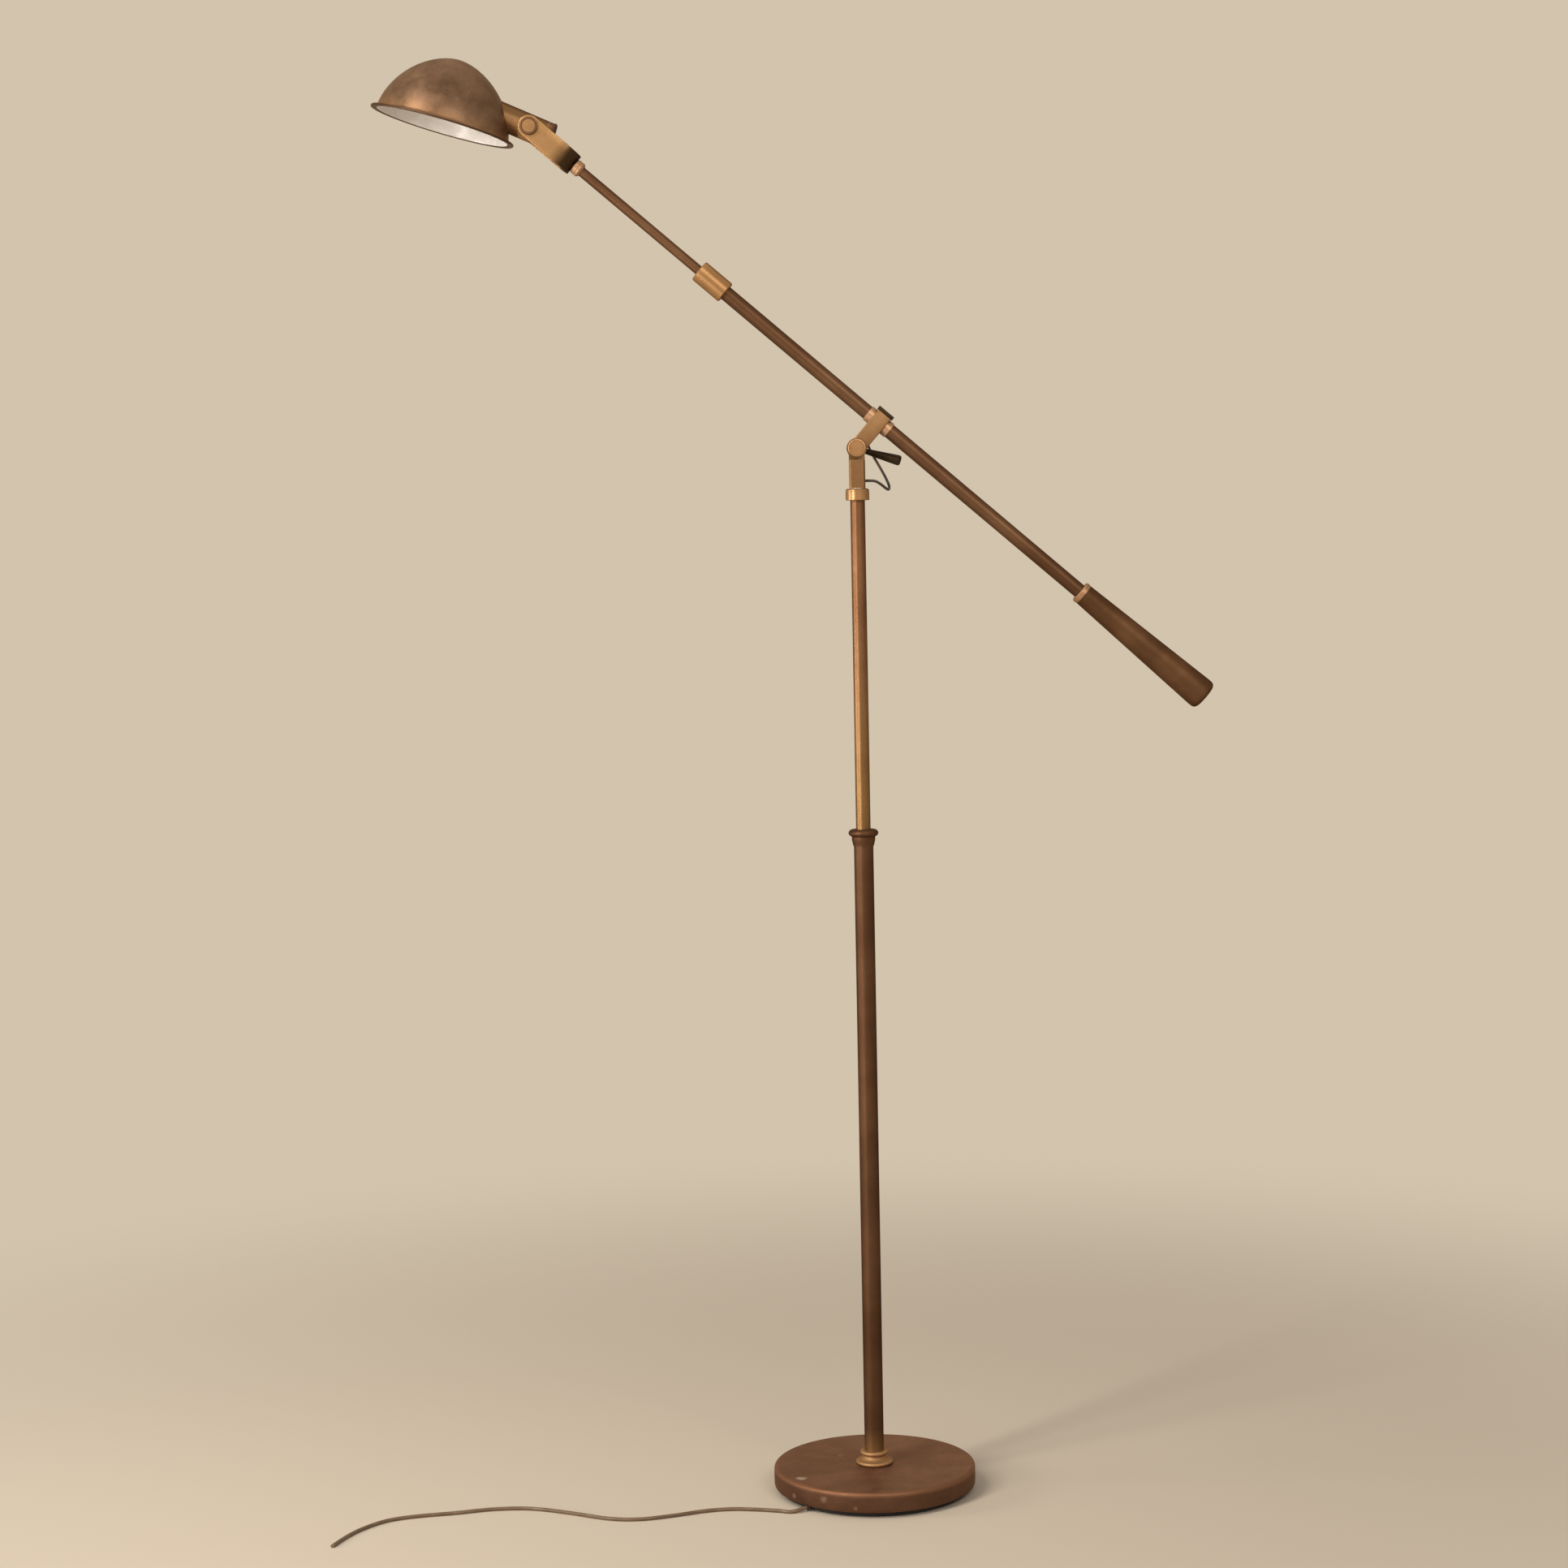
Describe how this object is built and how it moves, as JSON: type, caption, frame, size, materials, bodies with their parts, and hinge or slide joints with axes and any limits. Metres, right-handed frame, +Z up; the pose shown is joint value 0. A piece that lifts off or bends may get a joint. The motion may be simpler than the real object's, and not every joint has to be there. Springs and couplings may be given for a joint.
{
  "type": "bridge floor lamp",
  "caption": "Boom-arm floor lamp with a weighted round base, telescoping column, tilting and swivelling counterbalanced boom, sliding rod and domed head in a yoke.",
  "frame": {"origin": "centre of the base's underside, on the floor", "axes": "+Z up along the column; X along the boom seen from above, head towards -X and counterweight towards +X; the lamp's face, with the round caps, looks towards -Y"},
  "size_m": [1.1497, 0.3367, 1.8764],
  "materials": {
    "base_bronze": "satin, worn copper-brown bronze",
    "tube_bronze": "satin, aged brown bronze",
    "aged_brass": "satin, aged",
    "bright_brass": "satin, rubbed",
    "dark_bronze": "satin, nearly black",
    "cast_iron": "rough",
    "steel": "plain zinc",
    "bush_plastic": "matt",
    "felt": "felt",
    "rubber_bush": "matt",
    "lead_brown": "soft, slightly glossy",
    "lead_dark": "soft, slightly glossy",
    "porcelain": "glazed",
    "bulb_glass": "pearl"
  },
  "bodies": {
    "base": {"base_pad": "felt", "base_weight": "cast_iron", "base_shell": "base_bronze", "base_collar": "aged_brass", "column_plug": "steel", "threaded_nipple": "steel", "base_nut": "steel", "base_washer": "steel", "cord_grommet": "rubber_bush", "base_lead": "lead_brown", "power_cord": "lead_brown", "lower_column": "tube_bronze", "column_cap": "aged_brass", "column_bush": "bush_plastic"},
    "upper_column": {"upper_column": "tube_bronze", "guide_sleeve": "bush_plastic", "swivel_ring": "aged_brass", "swivel_washer": "bush_plastic"},
    "knuckle": {"pivot_post": "aged_brass", "swivel_nut": "steel"},
    "boom": {"clamp_arm": "aged_brass", "clamp_cap": "dark_bronze", "set_screws": "dark_bronze", "boom_sleeve": "aged_brass", "pivot_bolt": "aged_brass", "pivot_washers": "bush_plastic", "boom_tube": "tube_bronze", "boom_collar": "bright_brass", "boom_bush": "bush_plastic", "counterweight": "tube_bronze", "weight_core": "cast_iron", "weight_ring": "aged_brass", "weight_cap": "tube_bronze", "pivot_cord": "lead_dark"},
    "lever": {"lever_handle": "dark_bronze"},
    "rod": {"rod": "aged_brass", "rod_guide": "bush_plastic", "rod_ferrule": "bright_brass"},
    "yoke": {"yoke": "bright_brass", "swivel_clip": "steel"},
    "head": {"housing": "bright_brass", "housing_cap": "bright_brass", "head_trunnions": "aged_brass", "head_washers": "bush_plastic", "shade": "base_bronze", "shade_nut": "steel", "lampholder": "porcelain", "centre_contact": "aged_brass", "bulb_cap": "steel", "bulb_glass": "bulb_glass"},
    "switch": {"switch_knob": "dark_bronze"}
  },
  "joints": [
    {"name": "column_lift", "type": "slide", "parent": "base", "child": "upper_column", "axis": [0, 0, 1], "range_m": [-0.38, 0.1]},
    {"name": "boom_swivel", "type": "hinge", "parent": "upper_column", "child": "knuckle", "pos_m": [0, 0, 1.3195], "axis": [0, 0, 1], "range_deg": [-170, 170]},
    {"name": "boom_tilt", "type": "hinge", "parent": "knuckle", "child": "boom", "pos_m": [0, 0, 1.3712], "axis": [0, 1, 0], "range_deg": [-55, 35], "deforming": ["pivot_cord"]},
    {"name": "lever_turn", "type": "hinge", "parent": "boom", "child": "lever", "pos_m": [0, 0.016, 1.3712], "axis": [0, 1, 0], "range_deg": [-35, 14]},
    {"name": "rod_extend", "type": "slide", "parent": "boom", "child": "rod", "axis": [-0.7547, 0, 0.6561], "range_m": [-0.18, 0.08]},
    {"name": "head_swivel", "type": "hinge", "parent": "rod", "child": "yoke", "pos_m": [-0.35551, 0, 1.73854], "axis": [0.7547, 0, -0.6561], "range_deg": [-170, 170]},
    {"name": "head_tilt", "type": "hinge", "parent": "yoke", "child": "head", "pos_m": [-0.41083, 0, 1.78663], "axis": [0, 1, 0], "range_deg": [-55, 75]},
    {"name": "switch_turn", "type": "hinge", "parent": "head", "child": "switch", "pos_m": [-0.43138, 0.02, 1.79578], "axis": [0, 1, 0], "range_deg": [0, 90]}
  ]
}
